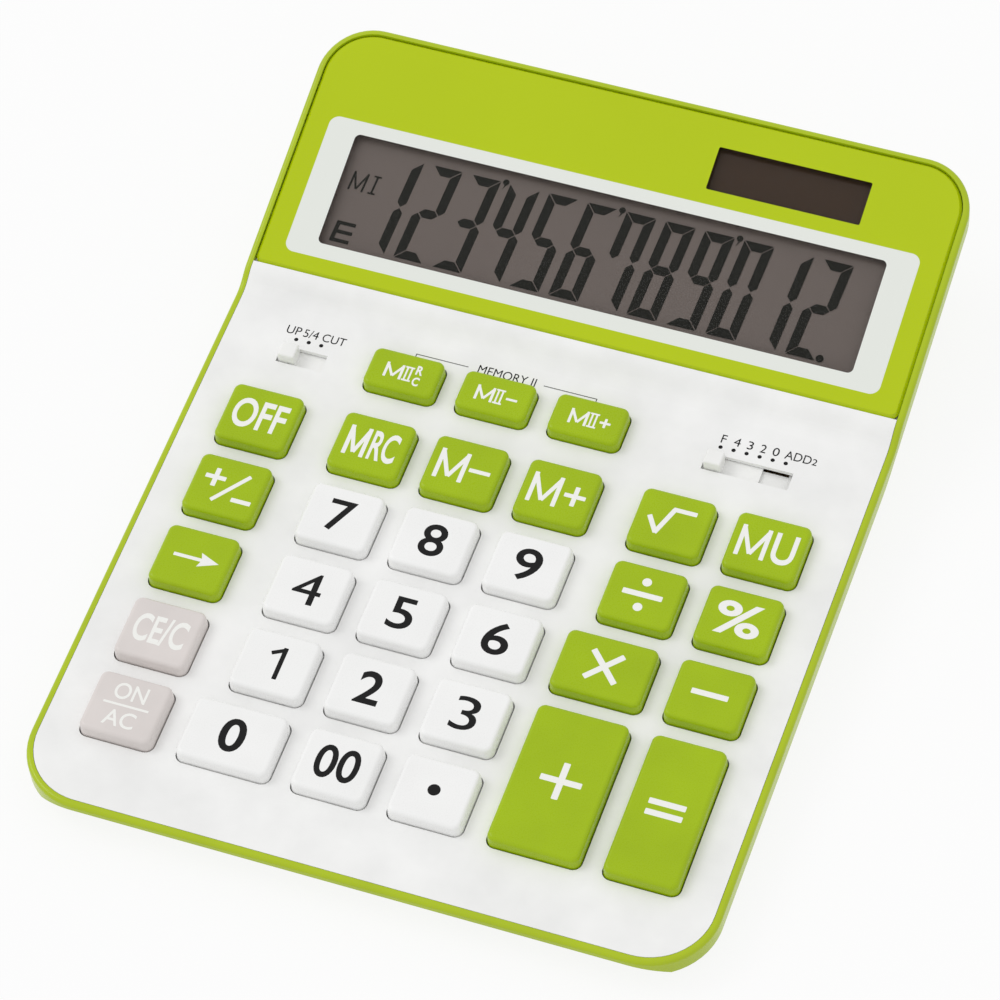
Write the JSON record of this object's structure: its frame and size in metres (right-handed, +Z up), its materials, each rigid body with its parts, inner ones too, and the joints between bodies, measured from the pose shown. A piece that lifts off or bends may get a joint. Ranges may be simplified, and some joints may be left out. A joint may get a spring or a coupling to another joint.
{
  "type": "desktop calculator",
  "caption": "Desktop calculator with a tilted display behind a printed lens, sprung keys on a flat panel and slide switches for rounding and decimals",
  "frame": {"origin": "centre of the footprint, at the underside of the rubber feet", "axes": "+Z up, -Y towards the user, +X to the user's right"},
  "size_m": [0.155, 0.2048, 0.0356],
  "materials": {
    "green_shell": "semi-gloss moulded ABS",
    "white_panel": "gloss moulded ABS",
    "green_key": "satin moulded ABS with white print",
    "white_key": "satin moulded ABS with black print",
    "grey_key": "satin moulded ABS with white print",
    "clear_acrylic": "clear acrylic, printed green and white on its face",
    "lcd_glass": "liquid crystal cell with polarisers",
    "foil": "matt reflective foil",
    "black_frame": "moulded ABS",
    "ribbon_film": "polyimide film",
    "solar_film": "amorphous silicon cell on glass",
    "silicone": "grey silicone rubber",
    "fibre_board": "phenolic board",
    "epoxy": "black epoxy",
    "steel_screw": "zinc plated steel",
    "cell_steel": "nickel plated steel can",
    "spring_metal": "nickel silver strip",
    "wire_cover": "PVC wire cover",
    "foot_rubber": "black rubber"
  },
  "bodies": {
    "case": {"bottom_case": "green_shell", "top_case": "white_panel", "display_lens": "clear_acrylic", "lcd_glass": "lcd_glass", "lcd_reflector": "foil", "lcd_frame": "black_frame", "lcd_ribbon": "ribbon_film", "solar_cell": "solar_film", "solar_wires": "wire_cover", "switch_retainers": "white_panel", "key_mat": "silicone", "circuit_board": "fibre_board", "chip_blob": "epoxy", "board_components": "epoxy", "board_screws": "steel_screw", "battery_door": "green_shell", "battery_door_screw": "steel_screw", "button_cell": "cell_steel", "battery_contact_plus": "spring_metal", "battery_contact_minus": "spring_metal", "battery_wires": "wire_cover", "case_screws": "steel_screw", "rubber_feet": "foot_rubber"},
    "rounding_switch": {"rounding_switch_knob": "white_panel", "rounding_switch_wiper": "spring_metal"},
    "decimal_switch": {"decimal_switch_knob": "white_panel", "decimal_switch_wiper": "spring_metal"},
    "key_on_clear_all_cap": {"key_on_clear_all": "grey_key"},
    "key_clear_entry_cap": {"key_clear_entry": "grey_key"},
    "key_backspace_cap": {"key_backspace": "green_key"},
    "key_change_sign_cap": {"key_change_sign": "green_key"},
    "key_off_cap": {"key_off": "green_key"},
    "key_zero_cap": {"key_zero": "white_key"},
    "key_one_cap": {"key_one": "white_key"},
    "key_four_cap": {"key_four": "white_key"},
    "key_seven_cap": {"key_seven": "white_key"},
    "key_memory_recall_cap": {"key_memory_recall": "green_key"},
    "key_second_memory_recall_cap": {"key_second_memory_recall": "green_key"},
    "key_double_zero_cap": {"key_double_zero": "white_key"},
    "key_two_cap": {"key_two": "white_key"},
    "key_five_cap": {"key_five": "white_key"},
    "key_eight_cap": {"key_eight": "white_key"},
    "key_memory_minus_cap": {"key_memory_minus": "green_key"},
    "key_second_memory_minus_cap": {"key_second_memory_minus": "green_key"},
    "key_point_cap": {"key_point": "white_key"},
    "key_three_cap": {"key_three": "white_key"},
    "key_six_cap": {"key_six": "white_key"},
    "key_nine_cap": {"key_nine": "white_key"},
    "key_memory_plus_cap": {"key_memory_plus": "green_key"},
    "key_second_memory_plus_cap": {"key_second_memory_plus": "green_key"},
    "key_plus_cap": {"key_plus": "green_key"},
    "key_multiply_cap": {"key_multiply": "green_key"},
    "key_divide_cap": {"key_divide": "green_key"},
    "key_square_root_cap": {"key_square_root": "green_key"},
    "key_equals_cap": {"key_equals": "green_key"},
    "key_minus_cap": {"key_minus": "green_key"},
    "key_percent_cap": {"key_percent": "green_key"},
    "key_markup_cap": {"key_markup": "green_key"}
  },
  "joints": [
    {"name": "rounding_switch_slide", "type": "slide", "parent": "case", "child": "rounding_switch", "axis": [1, 0, 0], "range_m": [0, 0.006]},
    {"name": "decimal_switch_slide", "type": "slide", "parent": "case", "child": "decimal_switch", "axis": [1, 0, 0], "range_m": [0, 0.015]},
    {"name": "key_on_clear_all_press", "type": "slide", "parent": "case", "child": "key_on_clear_all_cap", "axis": [0, 0.0436, -0.999], "range_m": [0, 0.0016], "stiffness_N_per_m": 400, "deforming": ["key_mat"]},
    {"name": "key_clear_entry_press", "type": "slide", "parent": "case", "child": "key_clear_entry_cap", "axis": [0, 0.0436, -0.999], "range_m": [0, 0.0016], "stiffness_N_per_m": 400},
    {"name": "key_backspace_press", "type": "slide", "parent": "case", "child": "key_backspace_cap", "axis": [0, 0.0436, -0.999], "range_m": [0, 0.0016], "stiffness_N_per_m": 400},
    {"name": "key_change_sign_press", "type": "slide", "parent": "case", "child": "key_change_sign_cap", "axis": [0, 0.0436, -0.999], "range_m": [0, 0.0016], "stiffness_N_per_m": 400},
    {"name": "key_off_press", "type": "slide", "parent": "case", "child": "key_off_cap", "axis": [0, 0.0436, -0.999], "range_m": [0, 0.0016], "stiffness_N_per_m": 400},
    {"name": "key_zero_press", "type": "slide", "parent": "case", "child": "key_zero_cap", "axis": [0, 0.0436, -0.999], "range_m": [0, 0.0016], "stiffness_N_per_m": 400},
    {"name": "key_one_press", "type": "slide", "parent": "case", "child": "key_one_cap", "axis": [0, 0.0436, -0.999], "range_m": [0, 0.0016], "stiffness_N_per_m": 400},
    {"name": "key_four_press", "type": "slide", "parent": "case", "child": "key_four_cap", "axis": [0, 0.0436, -0.999], "range_m": [0, 0.0016], "stiffness_N_per_m": 400},
    {"name": "key_seven_press", "type": "slide", "parent": "case", "child": "key_seven_cap", "axis": [0, 0.0436, -0.999], "range_m": [0, 0.0016], "stiffness_N_per_m": 400},
    {"name": "key_memory_recall_press", "type": "slide", "parent": "case", "child": "key_memory_recall_cap", "axis": [0, 0.0436, -0.999], "range_m": [0, 0.0016], "stiffness_N_per_m": 400},
    {"name": "key_second_memory_recall_press", "type": "slide", "parent": "case", "child": "key_second_memory_recall_cap", "axis": [0, 0.0436, -0.999], "range_m": [0, 0.0016], "stiffness_N_per_m": 400},
    {"name": "key_double_zero_press", "type": "slide", "parent": "case", "child": "key_double_zero_cap", "axis": [0, 0.0436, -0.999], "range_m": [0, 0.0016], "stiffness_N_per_m": 400},
    {"name": "key_two_press", "type": "slide", "parent": "case", "child": "key_two_cap", "axis": [0, 0.0436, -0.999], "range_m": [0, 0.0016], "stiffness_N_per_m": 400},
    {"name": "key_five_press", "type": "slide", "parent": "case", "child": "key_five_cap", "axis": [0, 0.0436, -0.999], "range_m": [0, 0.0016], "stiffness_N_per_m": 400},
    {"name": "key_eight_press", "type": "slide", "parent": "case", "child": "key_eight_cap", "axis": [0, 0.0436, -0.999], "range_m": [0, 0.0016], "stiffness_N_per_m": 400},
    {"name": "key_memory_minus_press", "type": "slide", "parent": "case", "child": "key_memory_minus_cap", "axis": [0, 0.0436, -0.999], "range_m": [0, 0.0016], "stiffness_N_per_m": 400},
    {"name": "key_second_memory_minus_press", "type": "slide", "parent": "case", "child": "key_second_memory_minus_cap", "axis": [0, 0.0436, -0.999], "range_m": [0, 0.0016], "stiffness_N_per_m": 400},
    {"name": "key_point_press", "type": "slide", "parent": "case", "child": "key_point_cap", "axis": [0, 0.0436, -0.999], "range_m": [0, 0.0016], "stiffness_N_per_m": 400},
    {"name": "key_three_press", "type": "slide", "parent": "case", "child": "key_three_cap", "axis": [0, 0.0436, -0.999], "range_m": [0, 0.0016], "stiffness_N_per_m": 400},
    {"name": "key_six_press", "type": "slide", "parent": "case", "child": "key_six_cap", "axis": [0, 0.0436, -0.999], "range_m": [0, 0.0016], "stiffness_N_per_m": 400},
    {"name": "key_nine_press", "type": "slide", "parent": "case", "child": "key_nine_cap", "axis": [0, 0.0436, -0.999], "range_m": [0, 0.0016], "stiffness_N_per_m": 400},
    {"name": "key_memory_plus_press", "type": "slide", "parent": "case", "child": "key_memory_plus_cap", "axis": [0, 0.0436, -0.999], "range_m": [0, 0.0016], "stiffness_N_per_m": 400},
    {"name": "key_second_memory_plus_press", "type": "slide", "parent": "case", "child": "key_second_memory_plus_cap", "axis": [0, 0.0436, -0.999], "range_m": [0, 0.0016], "stiffness_N_per_m": 400},
    {"name": "key_plus_press", "type": "slide", "parent": "case", "child": "key_plus_cap", "axis": [0, 0.0436, -0.999], "range_m": [0, 0.0016], "stiffness_N_per_m": 400},
    {"name": "key_multiply_press", "type": "slide", "parent": "case", "child": "key_multiply_cap", "axis": [0, 0.0436, -0.999], "range_m": [0, 0.0016], "stiffness_N_per_m": 400},
    {"name": "key_divide_press", "type": "slide", "parent": "case", "child": "key_divide_cap", "axis": [0, 0.0436, -0.999], "range_m": [0, 0.0016], "stiffness_N_per_m": 400},
    {"name": "key_square_root_press", "type": "slide", "parent": "case", "child": "key_square_root_cap", "axis": [0, 0.0436, -0.999], "range_m": [0, 0.0016], "stiffness_N_per_m": 400},
    {"name": "key_equals_press", "type": "slide", "parent": "case", "child": "key_equals_cap", "axis": [0, 0.0436, -0.999], "range_m": [0, 0.0016], "stiffness_N_per_m": 400},
    {"name": "key_minus_press", "type": "slide", "parent": "case", "child": "key_minus_cap", "axis": [0, 0.0436, -0.999], "range_m": [0, 0.0016], "stiffness_N_per_m": 400},
    {"name": "key_percent_press", "type": "slide", "parent": "case", "child": "key_percent_cap", "axis": [0, 0.0436, -0.999], "range_m": [0, 0.0016], "stiffness_N_per_m": 400},
    {"name": "key_markup_press", "type": "slide", "parent": "case", "child": "key_markup_cap", "axis": [0, 0.0436, -0.999], "range_m": [0, 0.0016], "stiffness_N_per_m": 400}
  ]
}
